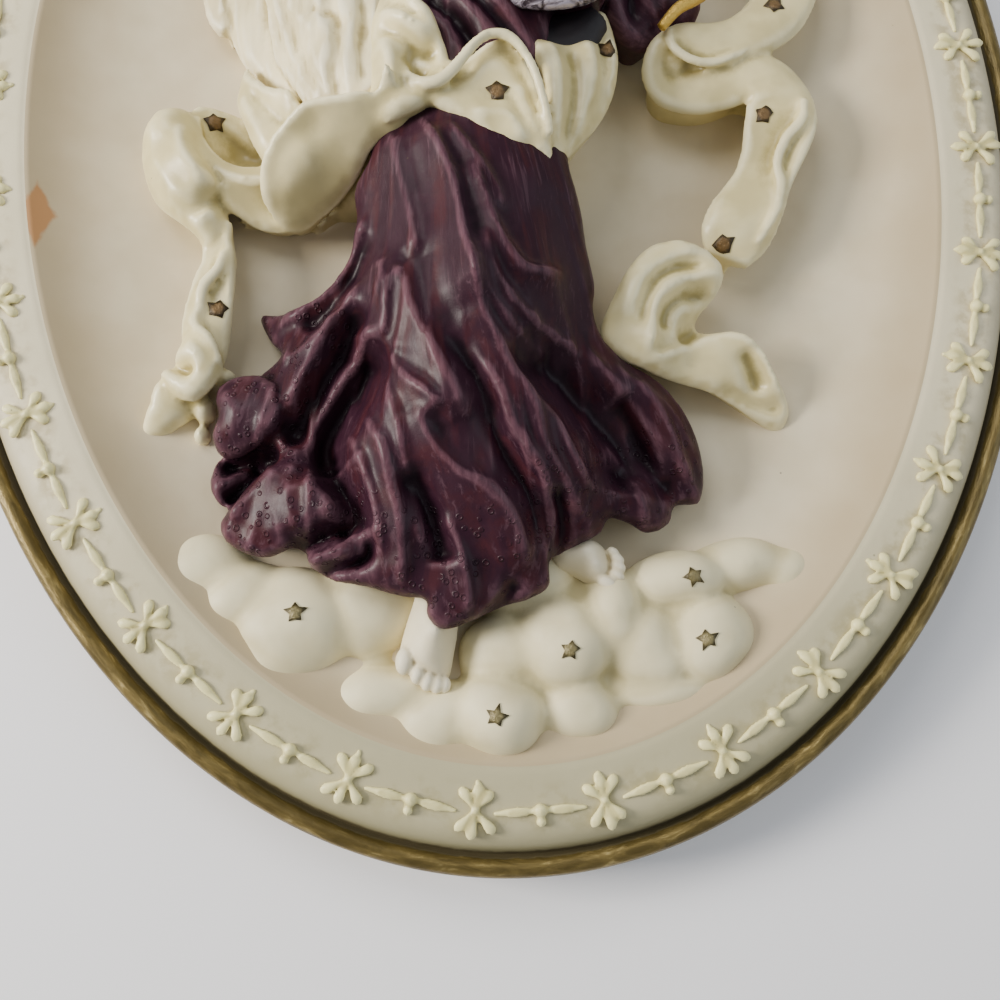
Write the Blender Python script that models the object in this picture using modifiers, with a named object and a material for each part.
# Oval wall plaque: an angel in high relief over clouds, cast in one piece with its dish and garland.
#
# Lengths below are millimetres and become metres where the meshes are made. A place on the plaque is
# (x, u) with x to the right and u up, and h is the height above the flat back. In Blender's frame
# that is X = x, Y = -h and Z = u, so the front faces -Y and the origin is the middle of the back.
import math

import bmesh
import bpy
import numpy as np
from mathutils import Matrix, Vector
from mathutils.geometry import delaunay_2d_cdt

MM = 0.001
RESIN_COLOUR = (0.72, 0.66, 0.52, 1.0)
RESIN_ROUGHNESS = 0.5

# The dish: half width and half height of the garland's oval, from which every ring is set off
OVAL_X = 88.5
OVAL_U = 120.0
DISH_SIDES = 80
FIELD_FLOOR = 6.0
LIP_TOP = 15.4
LIP_IN = 6.8
HOLLOW_POWER = 5.0
RIM_PROFILE = ((10.4, 0.0), (11.1, 1.4), (11.1, 10.2), (9.3, 12.3), (7.1, 10.4), (5.6, 13.4), (0.0, 15.2))
HOLLOW_OFFSETS = (-10.0, -16.0, -26.0, -40.0, -62.0)

# The garland: flowers and beaded links, taking turns round the band
GARLAND_UNITS = 32
PETAL_REACH = 3.9
PETAL_NOTCH = 1.7
FLOWER_RISE = 1.5
GARLAND_SUNK = 1.0
LINK_STATIONS = ((-4.4, 0.4, 0.1), (-2.2, 0.8, 0.6), (0.0, 1.3, 1.3), (2.2, 0.8, 0.6), (4.4, 0.4, 0.1))

# Relief: how it is made and how far the forms are rooted in the dish
ROOT = 2.5
PATCH_STEP = 1.6
EDGE_ROUNDING = 2.5
SCARF_ROUNDING = 1.6
STREAMER_LEAST = 3.0
RELIEF_VOXEL = 0.8
RELIEF_TRIANGLES = 5300

# The pocket in the back that hangs on a nail
POCKET_WIDTH = 16.0
POCKET_ROOF = 97.0
POCKET_SILL = 84.0
POCKET_DEPTH = 6.0

# Clouds: centre x, u, h and half sizes along x, u, h
CLOUDS = (
    (-54, -78, 9.5, 9, 6.5, 4.5), (-46, -83, 9, 8, 6, 6), (-38, -88, 9, 10.5, 9.5, 8),
    (-42, -94, 9, 8, 6, 5.5), (-26, -86, 9, 9, 9, 6), (-23, -100, 10, 10, 5, 5),
    (-14, -105, 9.5, 9, 6.5, 6), (-5.5, -105, 9, 8.5, 8, 9.5), (8, -105, 9, 7.5, 7, 7),
    (-3, -95, 9, 9, 7, 7), (6, -94, 9, 9.5, 9, 9.5), (14.5, -90, 9, 6, 9, 8.5),
    (20, -96, 9, 8.5, 8.5, 8), (30, -95, 9, 9, 8, 8.5), (26, -85, 9, 8.5, 5.5, 8),
    (38, -83, 8, 10, 5, 6.5), (45, -84, 7.5, 6, 5, 6), (21, -103, 11, 9, 3.5, 3.5),
    (2, -84, 8, 9, 8, 6),
)

# Feet: the outline of each, toes and all, and the heights it swells to
LEFT_FOOT_OUTLINE = (
    (-16.5, -83), (-18.5, -87), (-20, -91), (-21.5, -95), (-20.5, -97.5), (-18, -99.5), (-15.5, -101),
    (-13.5, -100.5), (-12.5, -98), (-11.5, -91), (-10.5, -84),
)
LEFT_FOOT_HEIGHTS = (
    (-14, -84, 17), (-18, -90.5, 16.5), (-14.5, -91, 18.5), (-20, -94.5, 15), (-15, -98, 15),
    (-12.5, -92, 16), (-17, -95, 17),
)
RIGHT_FOOT_OUTLINE = (
    (5, -76), (8.5, -77.5), (11.5, -77.5), (14, -78.5), (16.5, -80.5), (17, -83), (16, -85.5),
    (13.5, -86.5), (11, -85), (8.5, -83.5), (5.5, -81.5),
)
RIGHT_FOOT_HEIGHTS = (
    (8, -79, 16), (11, -80, 17.5), (14, -80.5, 15.5), (13.5, -83.5, 15), (9.5, -83, 15), (12, -82, 17),
)

# Gown: its outline, the heights it swells to, and its folds as (rise, half width, points)
GOWN_OUTLINE = (
    (-19, -4), (-21, -11.5), (-24, -16), (-24, -22), (-26, -28.5), (-30.5, -33.5), (-36.5, -34.5),
    (-42.5, -33), (-41, -38), (-38.5, -42), (-41.5, -44.5), (-45, -46), (-45.5, -50), (-45, -58),
    (-49.5, -60.5), (-51, -64), (-50, -67), (-48, -68.5), (-49.5, -71), (-48.5, -74), (-45, -76.5),
    (-41, -77.5), (-37, -76), (-35, -77), (-34, -79.5), (-30.5, -82), (-25.5, -83.5), (-20, -85.5),
    (-16, -86), (-16, -88.5), (-13.5, -91), (-9, -90), (-4, -88), (0.5, -87), (4, -85), (4.5, -81),
    (8.5, -79), (13, -77), (15, -74.5), (18.5, -75.5), (21.5, -77), (25.5, -75.5), (27, -72.5),
    (31.5, -72), (33, -66), (31.5, -59.5), (28.5, -54.5), (25, -50.5), (20, -47.5), (16.5, -44),
    (15, -39.5), (15.5, -35), (14.5, -28.5), (14, -23), (12.5, -16), (9.5, -4),
)
GOWN_HEIGHTS = (
    (-5, -5, 31), (-18, -6, 26), (9, -8, 27), (-5, -25, 32), (11, -28, 26), (-21, -24, 24),
    (-8, -45, 31), (-30, -40, 19), (13, -44, 22), (-40, -36, 12), (-36, -50, 18), (-12, -65, 27.5),
    (-32, -66, 21), (-44, -54, 14), (-46, -70, 17), (9, -68, 24), (24, -58, 18), (30, -68, 14.5),
    (-10, -86, 22), (-24, -80, 21), (-40, -74, 19), (9, -76, 20), (21, -75, 16.5), (5, -20, 31),
    (4, -36, 31.5), (-45, -64, 16),
)
GOWN_FOLDS = (
    (3.4, 2.0, ((-12.5, -8.5), (-8, -20), (-6.5, -31), (-4.5, -42))),
    (2.0, 1.4, ((-5.5, -33), (-2.5, -46.5), (2.5, -55), (8, -63), (12.5, -71))),
    (1.9, 1.4, ((-4.5, -18), (-1.5, -28.5), (3, -36.5), (9.5, -35.5))),
    (2.0, 2.3, ((-17.5, -8.5), (-15.5, -21.5), (-14, -33))),
    (2.8, 2.9, ((-19, -31), (-15, -42.5), (-11, -51), (-8, -60))),
    (2.0, 1.4, ((-20, -46), (-14, -55), (-11.5, -58))),
    (2.4, 2.0, ((-15.5, -57), (-9.5, -67.5), (-2, -73.5), (0, -83))),
    (4.0, 2.3, ((-21.5, -42), (-29.5, -52), (-34, -61.5), (-30, -70), (-29, -75))),
    (-11.0, 4.4, ((-21.5, -44.5), (-29, -55), (-30, -65))),
    (-6.0, 2.3, ((-30.5, -63), (-27, -70.5), (-26, -75.5))),
    (2.0, 1.4, ((-24, -56), (-19.5, -70.5), (-19.5, -84))),
    (-6.5, 2.0, ((-18, -66), (-13, -77.5), (-14.5, -88))),
    (-7.5, 4.2, ((1.5, -46), (11, -55.5), (18, -65), (17, -71))),
    (-3.4, 2.0, ((-9, -46), (-3.5, -61), (2, -72), (3, -79))),
    (2.0, 1.4, ((-6.5, -48), (-0.5, -61.5), (5, -72.5), (5.5, -78))),
    (2.0, 1.8, ((12.5, -46), (21, -58), (25, -71))),
    (-4.5, 1.8, ((17.5, -55), (22.5, -64.5), (26.5, -72))),
    (2.4, 1.7, ((-22.5, -22), (-29.5, -33), (-39, -37.5))),
    (-4.5, 2.1, ((-22.5, -25), (-29, -36.5), (-34, -40))),
    (3.2, 2.3, ((-23.5, -33), (-31.5, -44.5), (-36.5, -56))),
    (-5.0, 2.0, ((-23, -38), (-31.5, -50), (-37, -59.5))),
    (-5.5, 2.3, ((-50, -61), (-38.5, -60.5))),
    (-5.5, 2.0, ((-48.5, -67.5), (-42, -61))),
    (-6.0, 1.7, ((-37, -77), (-29.5, -74.5), (-27, -75.5))),
    (2.0, 1.4, ((-34.5, -79.5), (-27, -77.5))),
    (-3.0, 1.4, ((-33, -81), (-25, -79), (-24, -76))),
    (-3.0, 1.7, ((5.5, -70), (6, -82))),
    (-3.5, 1.8, ((-1, -84), (-6, -90))),
)
FLAP_OUTLINE = (
    (-48.5, -47.5), (-45, -46), (-41, -46.5), (-38.5, -49), (-37, -53), (-38.5, -56.5), (-42.5, -59),
    (-46.5, -60), (-49.5, -59), (-50, -56), (-49, -53), (-49.5, -49.5),
)
FLAP_HEIGHTS = (
    (-48, -48, 18), (-40, -48, 19.5), (-38.5, -54, 20.5), (-44, -53, 18.5), (-47, -59, 18.5),
    (-49, -55, 18),
)

# Scarf: the front swag, the knot beside it, the sweep behind, then the billow with its leaf, bowl, band and
# under side, the curled end of the left strip, and the folded tail of the right streamer
SWAG_OUTLINE = (
    (-12, -5.5), (-10.5, -7), (-8, -8.5), (-5, -10.5), (-2.5, -12.5), (-1, -14.5), (1.5, -15), (4, -15),
    (6, -15), (8, -16.5), (9.5, -18.5), (9, -13), (8.5, -8.5), (7.5, -4), (6, 0), (3.5, 2.5), (1, 3.5),
    (-1, 3), (-3, 1.5), (-5, 0), (-7, 0), (-9, -1.5), (-11.5, -3),
)
SWAG_HEIGHTS = (
    (-11, -5, 33), (-6, -3, 32.5), (-3, 0, 33), (1, 2.5, 33.5), (5, 0, 33), (8, -8, 31.5),
    (0.5, -5, 31.5), (-4, -8, 32), (0, -13, 31), (5, -13.5, 30.5), (9, -17, 28.5), (4, -7, 31.5),
)
SWAG_FOLDS = ((-1.6, 2.2, ((-8, -3.5), (-2, 1), (4, -0.5), (7, -11))),)
KNOT_OUTLINE = (
    (-20.5, -7), (-18, -9), (-14, -8.5), (-10.5, -7), (-8, -3.5), (-7, 0.5), (-7.5, 4.5), (-9, 8.5),
    (-11.5, 11), (-13.5, 15.5), (-18.5, 17), (-20, 11), (-20, 5), (-20.5, -1),
)
KNOT_HEIGHTS = (
    (-12, 8, 34.5), (-9.5, 6, 33.5), (-16, 5, 33), (-8.5, 1, 32.5), (-11.5, -1.5, 31),
    (-15.5, -5.5, 33), (-10.5, -6, 33), (-18, -7.5, 31.5), (-19, 8, 30.5), (-19.5, 0, 31),
    (-16, 14, 30), (-16, 0, 33),
)
KNOT_FOLDS = (
    (1.6, 1.4, ((-18, 9.5), (-12, 4.5), (-9.5, 3))),
    (1.8, 1.4, ((-15.5, 13), (-10, 7), (-8.5, 4))),
    (-1.8, 1.4, ((-18, 6.5), (-11.5, 2), (-8.5, 1))),
)
SWEEP_OUTLINE = (
    (9.5, -16.5), (12, -14), (15, -11), (18, -7.5), (20.5, -3.5), (22.5, 1), (23, 6), (23, 11),
    (22.5, 15), (20.5, 17), (18.5, 12.5), (15, 8), (11.5, 6.5), (8.5, 8), (7, 9), (6, 6), (7.5, 2),
    (8.5, -2), (8.5, -8), (9, -13),
)
SWEEP_HEIGHTS = (
    (10, -15, 27), (20, -4, 24), (11, 0, 29.5), (21.5, 9, 23.5), (8, 7, 28), (14, 6, 26),
    (20, 14, 22.5), (16, -8.5, 25.5), (9.5, -8, 29.5), (16, 0, 27),
)
SWEEP_FOLDS = (
    (1.8, 1.4, ((10.5, 6), (11, -6), (10, -13))),
    (-1.8, 1.4, ((13.5, 5), (13.5, -7), (11.5, -13))),
    (1.6, 1.4, ((17, 8), (17, -4), (13.5, -11))),
)
BILLOW_OUTLINE = (
    (-38, -18.5), (-39.5, -17), (-40.5, -15), (-40, -12.5), (-38.5, -10.5), (-36.5, -8.5), (-34, -7),
    (-31, -5.5), (-28.5, -5), (-25, -5.5), (-22, -5), (-19, -5), (-17, -2.5), (-15, -5), (-14.5, -8.5),
    (-16.5, -10), (-18.5, -10), (-20.5, -11), (-23, -13.5), (-26, -15.5), (-29, -17), (-33, -19),
    (-36, -19),
)
BILLOW_HEIGHTS = (
    (-39, -17, 19), (-39, -13, 23), (-35, -8.5, 27), (-29, -6.5, 29.5), (-22, -6.5, 31.5),
    (-17, -6, 33), (-18, -9, 31), (-23, -12, 28.5), (-29, -15.5, 23.5), (-35, -18, 19),
    (-31, -11.5, 27.5), (-36, -13.5, 24.5),
)
LEAF_OUTLINE = (
    (-42.5, 11.5), (-40.5, 7.5), (-38.5, 5), (-36, 3), (-34, 2), (-32.5, -0.5), (-31, -3), (-32, -6),
    (-35.5, -8.5), (-38.5, -10), (-41.5, -5), (-43.5, 0), (-44.5, 4.5), (-44, 8.5),
)
LEAF_HEIGHTS = (
    (-42.5, 10, 17), (-43.5, 3, 17), (-38, 2, 21), (-33, 0, 23.5), (-33, -5, 23.5), (-38, -8, 19.5),
    (-41, -2, 18.5),
)
BOWL_OUTLINE = (
    (-52.5, 5), (-47.5, 5), (-42, 2), (-38, -4), (-37, -11), (-43.5, -12), (-49.5, -8), (-52, -2),
)
BOWL_HEIGHTS = (
    (-52, 4, 15), (-48, 4, 13.5), (-43, 1, 12.5), (-46, -3.5, 10.5), (-40, -6, 12), (-49.5, -4, 14),
    (-42, -10, 13.5),
)
BAND_OUTLINE = (
    (-51.5, 3), (-54, 4.5), (-58, 4), (-61, 1), (-62, -3.5), (-61.5, -8), (-60, -12), (-57.5, -15),
    (-54.5, -17.5), (-52.5, -19.5), (-51, -22.5), (-48.5, -23), (-47, -19), (-47, -16), (-48, -14),
    (-47, -12.5), (-48.5, -9), (-50.5, -5), (-51, -0.5),
)
BAND_HEIGHTS = (
    (-52, 2, 16), (-56, 0, 19), (-60.5, -4, 15.5), (-55, -8, 20), (-51, -5, 18.5), (-59, -12, 15),
    (-52, -14, 18.5), (-49, -21, 15), (-48, -11.5, 18.5), (-47.5, -15, 16),
)
BAND_FOLDS = (
    (-1.0, 2.0, ((-54, 1.5), (-54.5, -9), (-52, -13))),
    (1.1, 1.4, ((-53.5, 0), (-51, -9.5), (-49, -12.5))),
    (-1.4, 1.4, ((-55.5, -14), (-50, -15.5), (-48.5, -14))),
    (1.2, 1.4, ((-52.5, -18.5), (-49, -16))),
)
UNDER_OUTLINE = (
    (-48.5, -12.5), (-47.5, -15), (-45.5, -16), (-42.5, -18), (-39, -19), (-35.5, -18.5), (-35, -13),
    (-39, -11), (-43.5, -11.5), (-46, -11),
)
UNDER_HEIGHTS = ((-47, -13, 17), (-42, -17, 14), (-42, -13, 16.5), (-37, -17, 14.5), (-37, -13, 17))
CURL_OUTLINE = (
    (-57, -42), (-59, -44.5), (-56.5, -48.5), (-53.5, -50), (-51, -49.5), (-49, -47), (-48, -44),
    (-49.5, -40), (-52.5, -37), (-54.5, -38), (-55.5, -40.5),
)
CURL_HEIGHTS = (
    (-55, -39.5, 16.5), (-50.5, -41, 18), (-49.5, -45, 18), (-53.5, -48.5, 17.5), (-57.5, -45.5, 16.5),
    (-53.5, -42.5, 18),
)
CONE_OUTLINE = (
    (-59.5, -45.5), (-61, -49.5), (-63.5, -53.5), (-63.5, -55), (-62, -55.5), (-58.5, -54),
    (-54, -51.5), (-52, -48.5), (-55, -45.5),
)
CONE_HEIGHTS = (
    (-58, -46.5, 15), (-53.5, -50, 12.5), (-63, -54.5, 10.5), (-60.5, -50.5, 14), (-57, -51.5, 13.5),
)
TAIL_OUTLINE = (
    (38.5, -34), (37, -36.5), (34.5, -39), (34, -41), (36.5, -43), (39.5, -43), (42.5, -44.5),
    (45, -47), (47, -50.5), (48.5, -53.5), (49.5, -56), (49.5, -58), (48, -59.5), (43.5, -57.5),
    (39, -55), (34, -53), (28, -51), (22.5, -49.5), (19, -47.5), (16.5, -44.5), (16.5, -41), (19, -36),
    (22.5, -31), (26.5, -27.5), (31.5, -27), (36, -28.5), (38.5, -31),
)
TAIL_HEIGHTS = (
    (17, -41, 18.5), (22, -38, 21), (28, -29, 19.5), (36, -31.5, 18.5), (37.5, -35, 17.5),
    (30.5, -38.5, 17.5), (33.5, -40.5, 14), (28, -44.5, 17.5), (24, -46.5, 20), (36, -46, 17),
    (30, -50.5, 16), (42, -46.5, 16.5), (41, -54, 13.5), (47.5, -53, 13.5), (48, -58.5, 10),
    (43.5, -50.5, 14.5), (19, -45.5, 19.5),
)
TAIL_FOLDS = (
    (1.8, 1.4, ((38, -34), (30.5, -35), (25, -41), (23, -48))),
    (-2.2, 1.6, ((37, -36), (27.5, -39.5), (27, -43.5))),
    (-2.0, 1.6, ((34, -42), (30.5, -45))),
    (1.8, 1.4, ((23, -48.5), (31, -45.5), (39, -44), (44, -47.5), (48, -54.5))),
    (-2.0, 2.1, ((41, -46.5), (44, -53.5))),
)
# Runs of cloth: centre x, u, h, width across and roll in degrees about the run
BOWL_WALL = (
    (-51.5, 2.5, 16, 1, -30), (-51, -2, 16, 2, -35), (-48.5, -6.5, 17, 3, -35), (-45.5, -9, 17, 4, -32),
    (-41.5, -10, 17.5, 4.5, -30), (-37.5, -9.5, 17.5, 4, -30),
)
LEFT_STRIP = (
    (-49, -17.5, 15, 6, 0), (-49, -21, 14.5, 5.5, 12), (-49, -24.5, 15, 6.5, 18),
    (-49.5, -28, 15, 7.5, 8), (-50, -32, 15.5, 8, 0), (-50.5, -36, 15.5, 8.5, -10),
    (-51, -39.5, 14.5, 8, -14), (-52, -42.5, 13, 6.5, 0),
)
RIGHT_STREAMER = (
    (44, 38, 15, 8, 0), (52, 36, 15.5, 10, 8), (57.5, 30, 16, 11, 8), (57, 22.5, 17, 11.5, 8),
    (53, 16.5, 18, 11.5, 10), (47.5, 13, 18, 10, 8), (42, 11, 18.5, 9.5, 0), (37, 11, 18.5, 8.5, -12),
    (33, 10, 17.5, 6.5, -26), (32, 7, 16, 6, -20), (33.5, 4, 16, 7, 0), (38.5, 2.5, 16.5, 8, 12),
    (43, 3.5, 17, 9, 8), (47, 5, 17.5, 10, 0), (51, 4, 17.5, 11.5, -4), (53, 0.5, 17.5, 12.5, -4),
    (52.5, -3, 17.5, 13, 4), (51.5, -7, 17, 12.5, 8), (50, -11, 17, 11, 12), (48, -15, 17, 10.5, 14),
    (46, -18.5, 17, 12, 8), (43.5, -22.5, 16.5, 13, -4), (42, -26, 16, 12, -8), (40.5, -29, 14.5, 8, 0),
)

# Wings: the arched arm as streamer rows, and rows of feathers as (count, width, roots, tips) with
# roots and tips as (x, u, h) lines; the soft mass of long feathers behind the knot; and a feather's share
# of its width at each part of its length
LEFT_ARCH = (
    (-11, 40, 24, 12, 0), (-17, 58, 22, 14, 0), (-28, 74, 19, 16, 0), (-38, 79, 16, 15, 0),
    (-47, 75, 15, 10, 0), (-52, 62, 14, 5, 0),
)
LEFT_FEATHERS = (
    (3, 8.5,
     ((-50, 56, 11), (-44, 58, 12), (-40, 50, 13)),
     ((-47, 21.5, 12.5), (-42, 17, 14), (-37.5, 10, 15.5))),
    (7, 8.0,
     ((-50, 66, 13), (-34, 64, 16), (-17, 52, 22)),
     ((-51, 38, 15), (-38, 30, 20.5), (-19, 26, 26.5))),
    (6, 8.5,
     ((-49, 73, 14.5), (-37, 78, 17), (-17, 63, 22)),
     ((-53, 53, 15.5), (-38, 49, 20.5), (-18, 45, 26))),
)
APRON_OUTLINE = (
    (-41, 38), (-39, 26), (-37.5, 15), (-36.5, 9), (-34.5, 4.5), (-33, 0.5), (-31, -3.5), (-29.5, -5.5),
    (-27, -6), (-25, -5.5), (-22.5, -5), (-20, -4), (-17.5, -1), (-17.5, 8), (-17.5, 20), (-19, 34),
    (-28, 42),
)
APRON_HEIGHTS = (
    (-36, 9, 21), (-31.5, 0, 25), (-31, 8, 26.5), (-27, 10, 28.5), (-21, 8, 30), (-29, -5, 26),
    (-22, -4, 30), (-25, 16, 28), (-37, 18, 21), (-38, 30, 18), (-28, 34, 21), (-19, 30, 25),
    (-18.5, 18, 29), (-25, 2, 30),
)
APRON_FOLDS = (
    (-1.5, 1.4, ((-37.5, 21), (-35, 9), (-31, 0), (-30, -3.5))),
    (1.3, 1.4, ((-36.5, 22), (-34, 9), (-30, -1.5), (-29, -4.5))),
    (-1.2, 1.4, ((-35, 22), (-32.5, 8.5), (-28.5, -1.5))),
)
RIGHT_ARCH = (
    (7, 44, 24, 10, 0), (15, 58, 22, 14, 0), (27, 72, 18, 15, 0), (38, 79, 15, 15, 0),
    (49, 79, 14, 9, 0), (56, 71, 13, 5, 0),
)
RIGHT_FEATHERS = (
    (7, 8.5, ((53, 77, 11), (35, 76, 13), (11, 51, 20)), ((63, 56, 12), (50, 37, 15), (20, 40, 19))),
    (5, 9.0, ((50, 80, 13), (32, 77, 16), (11, 55, 22)), ((58, 65, 14), (43, 53, 17), (17, 46, 22))),
)
FEATHER_SHAPE = ((0.0, 0.7), (0.35, 0.95), (0.7, 1.0), (0.92, 0.75), (1.0, 0.2))
FEATHER_ROLL = 16.0
FEATHER_CROWN = 0.16

# Upper body: bodice, two bell sleeves, neck, head, hair and joined hands
BODICE_OUTLINE = (
    (-15, -4), (-16, 10), (-18, 26), (-19, 36), (-13, 44), (-4, 48.5), (7, 47.5), (13, 42), (14, 30),
    (12, 16), (10, 2), (8, -6),
)
BODICE_HEIGHTS = (
    (-4, 0, 30), (-15, 34, 26), (12, 36, 26), (-2, 28, 33), (-1, 44, 28), (-4, 12, 31), (9, 6, 28),
    (-13, 8, 27),
)
NEAR_SLEEVE_OUTLINE = (
    (-20, 38), (-21, 28), (-15, 20), (-8, 16), (-3, 14), (1, 12.5), (6, 12.5), (10, 12), (14, 12),
    (18, 13), (21.5, 15), (22.5, 19), (21, 27), (17, 36), (12, 41), (4, 36.5), (-5, 36), (-12, 43),
)
NEAR_SLEEVE_HEIGHTS = (
    (-17, 36, 28), (-13, 24, 33), (1, 26, 35), (14, 36, 34), (10, 18, 35), (20, 17, 31), (0, 14.5, 33),
    (8, 13.5, 34), (16, 14, 33),
)
NEAR_SLEEVE_FOLDS = ((1.8, 1.6, ((-15, 34), (4, 19), (9, 14))), (-1.8, 1.7, ((-14, 29), (3, 14.5))))
FAR_SLEEVE_OUTLINE = (
    (18, 38), (19, 27), (21.5, 17.5), (24, 13), (27, 11.5), (30.5, 11.5), (33.5, 13.5), (36.5, 15.5),
    (40, 18), (40.5, 24), (34, 33), (25, 42),
)
FAR_SLEEVE_HEIGHTS = ((20, 35, 28), (24, 15, 21), (36, 18, 18.5), (32, 26, 22), (28, 13, 19))
FAR_SLEEVE_FOLDS = ((-2.2, 1.8, ((23, 36), (27, 14))), (1.6, 1.7, ((26, 36), (33, 16))))
HEAD = (-1.5, 61, 28)
HEAD_HALF = (8.2, 10.6, 9.5)
HEAD_LEAN = 8.0
NECK = ((-3, 44, 24, 5.2, 5), (-2.5, 53, 25, 4.6, 4.6))
NOSE = (
    (-1.6, 64.5, 35.5, 0.9, 1), (-1.1, 61, 37.5, 1.2, 1.2), (-1.0, 59, 37.6, 1.7, 1.3),
    (-1.1, 57.6, 36, 1, 1),
)
CHIN = (-0.6, 52.6, 33.5)
CHIN_HALF = (3.0, 2.2, 2.8)
BROW = (
    (-8, 62.5, 31.5, 1.4, 1.2), (-4.5, 65.2, 35, 1.6, 1.2), (1.8, 65.2, 35, 1.6, 1.2),
    (5.4, 62.5, 31.5, 1.4, 1.2),
)
HANDS = (
    (
        (5, 34, 34, 3.8, 3.4), (8.5, 37.5, 35, 3.2, 3), (11, 43, 35.5, 3.2, 2.4),
        (12.4, 49, 35.2, 2.4, 1.6), (13, 52.5, 34.4, 1.3, 1.1),
    ),
    (
        (14, 33, 32.5, 3.4, 3), (13, 37.5, 33.6, 3, 2.8), (13.2, 43, 34, 3, 2.2),
        (13.7, 49, 33.8, 2.2, 1.5), (13.8, 52, 33.2, 1.2, 1.1),
    ),
)
HAIR_LOCKS = (
    (
        (3, 71, 30, 5, 4), (-7, 70, 30, 6, 5), (-13, 62, 27, 5, 5), (-15, 52, 24, 4.5, 4),
        (-18, 42, 24, 4, 3.5), (-17, 33, 27, 2, 2),
    ),
    ((4, 71, 26, 5, 4), (9, 64, 24, 4, 4), (10, 54, 23, 3.5, 3.5), (13, 46, 24, 2, 2)),
    ((-4, 72, 24, 8, 5), (-4, 60, 20, 11, 8), (-6, 48, 20, 10, 7)),
)


def smooth_line(points, per_span=5, closed=False):
    """Points along a smooth curve that passes through all the given points."""
    through = np.array(points, float)
    count = len(through)
    if closed:
        padded = np.vstack([through[-1:], through, through[:2]])
    else:
        padded = np.vstack([2 * through[0] - through[1], through, 2 * through[-1] - through[-2]])
    spans = count if closed else count - 1
    line = []
    for i in range(spans):
        a, b, c, d = padded[i:i + 4]
        for t in np.arange(per_span) / per_span:
            line.append(0.5 * (2 * b + (c - a) * t + (2 * a - 5 * b + 4 * c - d) * t**2
                               + (3 * b - a - 3 * c + d) * t**3))
    if not closed:
        line.append(through[-1])
    return np.array(line)


def distance_to(places, line):
    """Distance from each place to a line, and how far along the line the nearest point lies (0 to 1)."""
    start, step = line[:-1], np.diff(line, axis=0)
    length = np.maximum((step**2).sum(axis=1), 1e-12)
    t = np.clip(((places[:, None] - start) * step).sum(axis=2) / length, 0, 1)
    gap = np.linalg.norm(places[:, None] - (start + t[..., None] * step), axis=2)
    nearest = gap.argmin(axis=1)
    rows = np.arange(len(places))
    return gap[rows, nearest], (nearest + t[rows, nearest]) / len(start)


def swell(supports):
    """A smooth height surface through the given (x, u, h), as a thin plate would bend."""
    supports = np.array(supports, float)
    known = supports[:, :2]

    def bend(gap):
        return np.where(gap > 1e-9, gap**2 * np.log(np.maximum(gap, 1e-9)), 0.0)

    count = len(known)
    flat = np.column_stack([np.ones(count), known])
    system = np.zeros((count + 3, count + 3))
    system[:count, :count] = bend(np.linalg.norm(known[:, None] - known, axis=2))
    system[:count, count:] = flat
    system[count:, :count] = flat.T
    weights = np.linalg.solve(system, np.append(supports[:, 2], [0, 0, 0]))

    def height(places):
        return (bend(np.linalg.norm(places[:, None] - known, axis=2)) @ weights[:count]
                + np.column_stack([np.ones(len(places)), places]) @ weights[count:])

    return height


def dish_height(offset):
    """Height of the hollow field at an offset inside the garland's oval."""
    reach = np.clip((-offset - LIP_IN) / (OVAL_X - LIP_IN), 0, 1)
    return LIP_TOP - (LIP_TOP - FIELD_FLOOR) * (1 - (1 - reach)**HOLLOW_POWER)


def mesh_from(form, name):
    """An object of a bmesh built in (x, h, u) millimetres, turned into the plaque's metre frame."""
    bmesh.ops.transform(form, matrix=Matrix.Scale(MM, 4), verts=form.verts)
    bmesh.ops.recalc_face_normals(form, faces=form.faces)
    mesh = bpy.data.meshes.new(name)
    form.to_mesh(mesh)
    form.free()
    return bpy.data.objects.new(name, mesh)


def at(x, u, h):
    return Vector((x, -h, u))


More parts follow.
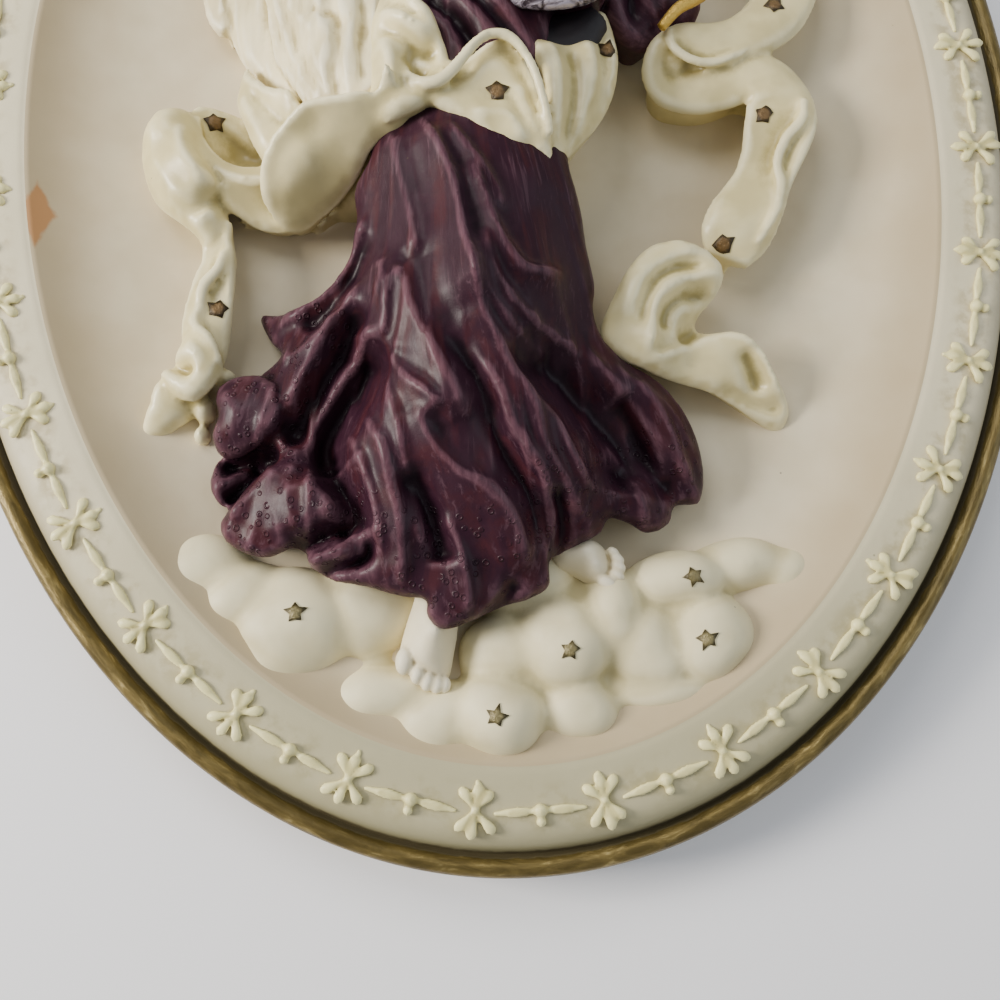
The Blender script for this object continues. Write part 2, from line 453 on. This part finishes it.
def relief_patch(form, outline, supports, folds=(), rounding=EDGE_ROUNDING):
    """A closed form over an outline: it swells to the supports, folds along lines and rounds at its edge."""
    edge = smooth_line(outline, 3, closed=True)
    ring = np.vstack([edge, edge[:1]])
    low, high = edge.min(axis=0), edge.max(axis=0)
    xs = np.arange(low[0], high[0], PATCH_STEP)
    us = np.arange(low[1], high[1], PATCH_STEP)
    grid = np.array([(x + 0.5 * PATCH_STEP * (k % 2), u) for k, u in enumerate(us) for x in xs])
    ahead = (ring[:-1, 1] > grid[:, None, 1]) != (ring[1:, 1] > grid[:, None, 1])
    rise = np.where(ring[1:, 1] == ring[:-1, 1], 1e-9, ring[1:, 1] - ring[:-1, 1])
    cross = ring[:-1, 0] + (grid[:, None, 1] - ring[:-1, 1]) / rise * (ring[1:, 0] - ring[:-1, 0])
    inside = (ahead & (grid[:, None, 0] < cross)).sum(axis=1) % 2 == 1
    grid = grid[inside]
    grid = grid[distance_to(grid, ring)[0] > 0.45 * PATCH_STEP]
    spots = [Vector(p) for p in np.vstack([edge, grid])]
    flat, _, faces, *_ = delaunay_2d_cdt(spots, [], [list(range(len(edge)))], 1, 1e-6)
    places = np.array(flat)
    height = swell(supports)(places)
    for amount, width, points in folds:
        gap, along = distance_to(places, smooth_line(points, 5))
        height += amount * np.exp(-(gap / width)**2) * np.clip(8 * along * (1 - along) + 0.25, 0, 1)
    gap = np.clip(distance_to(places, ring)[0] / rounding, 0, 1)
    height -= rounding * (1 - np.sqrt(1 - (1 - gap)**2))
    top = [form.verts.new(at(x, u, max(h, ROOT + 2))) for (x, u), h in zip(places, height)]
    skin = [form.faces.new([top[i] for i in face]) for face in faces]
    border = [e for e in {e for f in skin for e in f.edges} if len(e.link_faces) == 1]
    wall = bmesh.ops.extrude_edge_only(form, edges=border)["geom"]
    foot = [v for v in wall if isinstance(v, bmesh.types.BMVert)]
    for vert in foot:
        vert.co.y = -ROOT
    rim = [e for e in wall if isinstance(e, bmesh.types.BMEdge) and all(v in foot for v in e.verts)]
    bmesh.ops.holes_fill(form, edges=rim, sides=0)


def close_sections(form, sections):
    """Skin a row of equal closed sections and cap both ends."""
    rings = [[form.verts.new(p) for p in section] for section in sections]
    for one, two in zip(rings, rings[1:]):
        for i in range(len(one)):
            j = (i + 1) % len(one)
            form.faces.new((one[i], one[j], two[j], two[i]))
    form.faces.new(rings[0])
    form.faces.new(reversed(rings[-1]))


def streamer(form, rows, across=6, cup=0.0):
    """A run of cloth with its own width and roll at each row, standing on the field."""
    path = smooth_line(rows, 6)
    run = np.gradient(path[:, :2], axis=0)
    run /= np.linalg.norm(run, axis=1)[:, None]
    sections = []
    for (x, u, h, width, roll), (dx, du) in zip(path, run):
        turn = math.radians(roll)
        side = at(-du * math.cos(turn), dx * math.cos(turn), math.sin(turn))
        out = at(du * math.sin(turn), -dx * math.sin(turn), math.cos(turn))
        crown = []
        for k in range(across + 1):
            s = 2 * k / across - 1
            point = at(x, u, h) + side * (s * width / 2) + out * (cup * width * (s * s - 0.5))
            point.y = min(point.y, -ROOT - STREAMER_LEAST)
            crown.append(point)
        foot = [Vector((p.x, -ROOT, p.z)) for p in reversed(crown)]
        sections.append(crown + foot)
    close_sections(form, sections)


def limb(form, rows, sides=10):
    """A round form swept through (x, u, h, half width, half height)."""
    path = smooth_line(rows, 4)
    run = np.gradient(path[:, :3], axis=0)
    sections = []
    for (x, u, h, wide, high), (dx, du, dh) in zip(path, run):
        ahead = at(dx, du, dh).normalized()
        out = at(0, 0, 1)
        side = ahead.cross(out).normalized()
        out = side.cross(ahead)
        angles = [math.tau * k / sides for k in range(sides)]
        middle = at(x, u, h)
        sections.append([middle + side * (wide * math.cos(a)) + out * (high * math.sin(a)) for a in angles])
    close_sections(form, sections)


def spread_along(points, count):
    """So many points, evenly spaced by their number, along the smooth line through the given points."""
    line = smooth_line(points, 12)
    return [line[round(k * (len(line) - 1) / (count - 1))] for k in range(count)]


def wing(form, arch, feather_rows, roll):
    """The arched arm of a wing, and its rows of long feathers, each lapping the next like shingles."""
    streamer(form, arch, cup=-FEATHER_CROWN)
    for count, width, roots, tips in feather_rows:
        for root, tip in zip(spread_along(roots, count), spread_along(tips, count)):
            rows = [(*(root + (tip - root) * t), width * share, roll) for t, share in FEATHER_SHAPE]
            streamer(form, rows, across=4, cup=-FEATHER_CROWN)


def ball(form, centre, half, lean=0.0):
    """An ellipsoid, leaning about the line of sight and cut off flat at the root of the relief."""
    place = Matrix.Translation(at(*centre)) @ Matrix.Rotation(math.radians(lean), 4, "Y")
    size = Matrix.Diagonal((half[0], half[2], half[1], 1))
    made = bmesh.ops.create_icosphere(form, subdivisions=3, radius=1.0, matrix=place @ size)
    for vert in made["verts"]:
        vert.co.y = min(vert.co.y, -ROOT)


def evaluated_copy(shape, name):
    """A new object with the shape's modifiers applied; the shape itself is removed."""
    graph = bpy.context.evaluated_depsgraph_get()
    mesh = bpy.data.meshes.new_from_object(shape.evaluated_get(graph))
    bpy.data.objects.remove(shape)
    return bpy.data.objects.new(name, mesh)


def make_relief(collection):
    """Clouds, feet, gown, scarf, wings and figure, melted into one body as the mould's master was."""
    form = bmesh.new()
    for x, u, h, half_x, half_u, half_h in CLOUDS:
        ball(form, (x, u, h), (half_x, half_u, half_h))
    relief_patch(form, LEFT_FOOT_OUTLINE, LEFT_FOOT_HEIGHTS)
    relief_patch(form, RIGHT_FOOT_OUTLINE, RIGHT_FOOT_HEIGHTS)
    wing(form, LEFT_ARCH, LEFT_FEATHERS, FEATHER_ROLL)
    wing(form, RIGHT_ARCH, RIGHT_FEATHERS, -FEATHER_ROLL)
    relief_patch(form, APRON_OUTLINE, APRON_HEIGHTS, APRON_FOLDS)
    relief_patch(form, BODICE_OUTLINE, BODICE_HEIGHTS)
    relief_patch(form, FAR_SLEEVE_OUTLINE, FAR_SLEEVE_HEIGHTS, FAR_SLEEVE_FOLDS)
    relief_patch(form, NEAR_SLEEVE_OUTLINE, NEAR_SLEEVE_HEIGHTS, NEAR_SLEEVE_FOLDS)
    relief_patch(form, GOWN_OUTLINE, GOWN_HEIGHTS, GOWN_FOLDS)
    relief_patch(form, FLAP_OUTLINE, FLAP_HEIGHTS)
    relief_patch(form, SWEEP_OUTLINE, SWEEP_HEIGHTS, SWEEP_FOLDS)
    relief_patch(form, KNOT_OUTLINE, KNOT_HEIGHTS, KNOT_FOLDS)
    relief_patch(form, SWAG_OUTLINE, SWAG_HEIGHTS, SWAG_FOLDS, SCARF_ROUNDING)
    relief_patch(form, LEAF_OUTLINE, LEAF_HEIGHTS, (), SCARF_ROUNDING)
    relief_patch(form, BOWL_OUTLINE, BOWL_HEIGHTS, (), SCARF_ROUNDING)
    relief_patch(form, BILLOW_OUTLINE, BILLOW_HEIGHTS, (), SCARF_ROUNDING)
    relief_patch(form, BAND_OUTLINE, BAND_HEIGHTS, BAND_FOLDS)
    relief_patch(form, UNDER_OUTLINE, UNDER_HEIGHTS, (), SCARF_ROUNDING)
    relief_patch(form, CURL_OUTLINE, CURL_HEIGHTS)
    relief_patch(form, CONE_OUTLINE, CONE_HEIGHTS, (), SCARF_ROUNDING)
    relief_patch(form, TAIL_OUTLINE, TAIL_HEIGHTS, TAIL_FOLDS, SCARF_ROUNDING)
    for rows in (BOWL_WALL, LEFT_STRIP, RIGHT_STREAMER):
        streamer(form, rows)
    limb(form, NECK)
    ball(form, HEAD, HEAD_HALF, HEAD_LEAN)
    ball(form, CHIN, CHIN_HALF, HEAD_LEAN)
    limb(form, NOSE)
    limb(form, BROW)
    for rows in (*HANDS, *HAIR_LOCKS):
        limb(form, rows)
    shape = mesh_from(form, "relief_forms")
    collection.objects.link(shape)
    melt = shape.modifiers.new("Melt", "REMESH")
    melt.mode = "VOXEL"
    melt.voxel_size = RELIEF_VOXEL * MM
    soften = shape.modifiers.new("Soften", "SMOOTH")
    soften.factor = 0.5
    soften.iterations = 2
    melted = evaluated_copy(shape, "relief_melted")
    collection.objects.link(melted)
    facets = sum(len(face.vertices) - 2 for face in melted.data.polygons)
    thin = melted.modifiers.new("Thin", "DECIMATE")
    thin.ratio = RELIEF_TRIANGLES / facets
    relief = evaluated_copy(melted, "relief_cutter")
    collection.objects.link(relief)
    return relief


def oval_ring(form, offset, height):
    angles = [math.tau * (k + 0.5) / DISH_SIDES for k in range(DISH_SIDES)]
    places = [((OVAL_X + offset) * math.cos(a), (OVAL_U + offset) * math.sin(a)) for a in angles]
    return [form.verts.new(at(x, u, height)) for x, u in places]


def make_dish():
    """The oval dish: flat back, gold-line rim, groove, band, lip and hollow field."""
    form = bmesh.new()
    rings = [oval_ring(form, offset, height) for offset, height in RIM_PROFILE]
    rings.append(oval_ring(form, -LIP_IN, LIP_TOP))
    rings += [oval_ring(form, offset, dish_height(offset)) for offset in HOLLOW_OFFSETS]
    form.faces.new(rings[0])
    form.faces.new(reversed(rings[-1]))
    for outer, inner in zip(rings, rings[1:]):
        for i in range(DISH_SIDES):
            j = (i + 1) % DISH_SIDES
            form.faces.new((outer[i], outer[j], inner[j], inner[i]))
    return mesh_from(form, "angel_plaque")


def garland_spots():
    """Angle parameters of the flowers, evenly spaced along the oval, and of the links between them."""
    angle = np.linspace(0, math.tau, 4001)
    step = np.hypot(np.diff(OVAL_X * np.cos(angle)), np.diff(OVAL_U * np.sin(angle)))
    length = np.insert(np.cumsum(step), 0, 0)
    stops = (np.arange(2 * GARLAND_UNITS)) * length[-1] / (2 * GARLAND_UNITS)
    spots = np.interp(stops, length, angle)
    return spots[1::2], spots[0::2]


def make_garland():
    """Six-petalled flowers and beaded links as low closed forms, sunk in the band."""
    form = bmesh.new()
    band = RIM_PROFILE[-1][1]
    base = band - GARLAND_SUNK
    spread = (FLOWER_RISE + GARLAND_SUNK) / FLOWER_RISE
    flowers, links = garland_spots()
    for a in flowers:
        centre = np.array((OVAL_X * math.cos(a), OVAL_U * math.sin(a)))
        facing = math.atan2(OVAL_X * math.sin(a), OVAL_U * math.cos(a))
        tips = []
        for k in range(12):
            reach = spread * (PETAL_REACH if k % 2 == 0 else PETAL_NOTCH)
            turn = facing + math.tau * k / 12
            tips.append(centre + reach * np.array((math.cos(turn), math.sin(turn))))
        foot = [form.verts.new(at(x, u, base)) for x, u in tips]
        peak = form.verts.new(at(*centre, band + FLOWER_RISE))
        form.faces.new(foot)
        for i in range(12):
            form.faces.new((foot[i], foot[(i + 1) % 12], peak))
    for a in links:
        centre = np.array((OVAL_X * math.cos(a), OVAL_U * math.sin(a)))
        run = np.array((-OVAL_X * math.sin(a), OVAL_U * math.cos(a)))
        run /= np.linalg.norm(run)
        side = np.array((run[1], -run[0]))
        sections = []
        for along, half, rise in LINK_STATIONS:
            middle = centre + run * along
            left, right = middle - side * (half + 0.5), middle + side * (half + 0.5)
            sections.append([at(*left, base), at(*middle, band + rise), at(*right, base)])
        close_sections(form, sections)
    return mesh_from(form, "garland_cutter")


def make_pocket():
    """The cutter for the nail pocket: a box with a flat roof that opens to the back."""
    form = bmesh.new()
    size = Matrix.Diagonal((POCKET_WIDTH, 2 * POCKET_DEPTH, POCKET_ROOF - POCKET_SILL, 1))
    middle = Matrix.Translation((0, 0, (POCKET_ROOF + POCKET_SILL) / 2))
    bmesh.ops.create_cube(form, size=1.0, matrix=middle @ size)
    return mesh_from(form, "pocket_cutter")


def boolean(target, cutter, operation):
    step = target.modifiers.new(cutter.name, "BOOLEAN")
    step.operation = operation
    step.solver = "EXACT"
    step.object = cutter


def resin():
    material = bpy.data.materials.new("painted_resin")
    material.use_nodes = True
    shader = material.node_tree.nodes["Principled BSDF"]
    shader.inputs["Base Color"].default_value = RESIN_COLOUR
    shader.inputs["Roughness"].default_value = RESIN_ROUGHNESS
    return material


def main():
    for leftover in list(bpy.data.objects):
        bpy.data.objects.remove(leftover)
    plaque = bpy.data.collections.new("angel_wall_plaque")
    cutters = bpy.data.collections.new("cutters")
    for collection in (plaque, cutters):
        bpy.context.scene.collection.children.link(collection)
    relief = make_relief(cutters)
    garland = make_garland()
    pocket = make_pocket()
    for cutter in (garland, pocket):
        cutters.objects.link(cutter)
    for cutter in (relief, garland, pocket):
        cutter.hide_render = True
        cutter.display_type = "WIRE"
    body = make_dish()
    plaque.objects.link(body)
    boolean(body, garland, "UNION")
    boolean(body, relief, "UNION")
    boolean(body, pocket, "DIFFERENCE")
    body.data.materials.append(resin())


main()
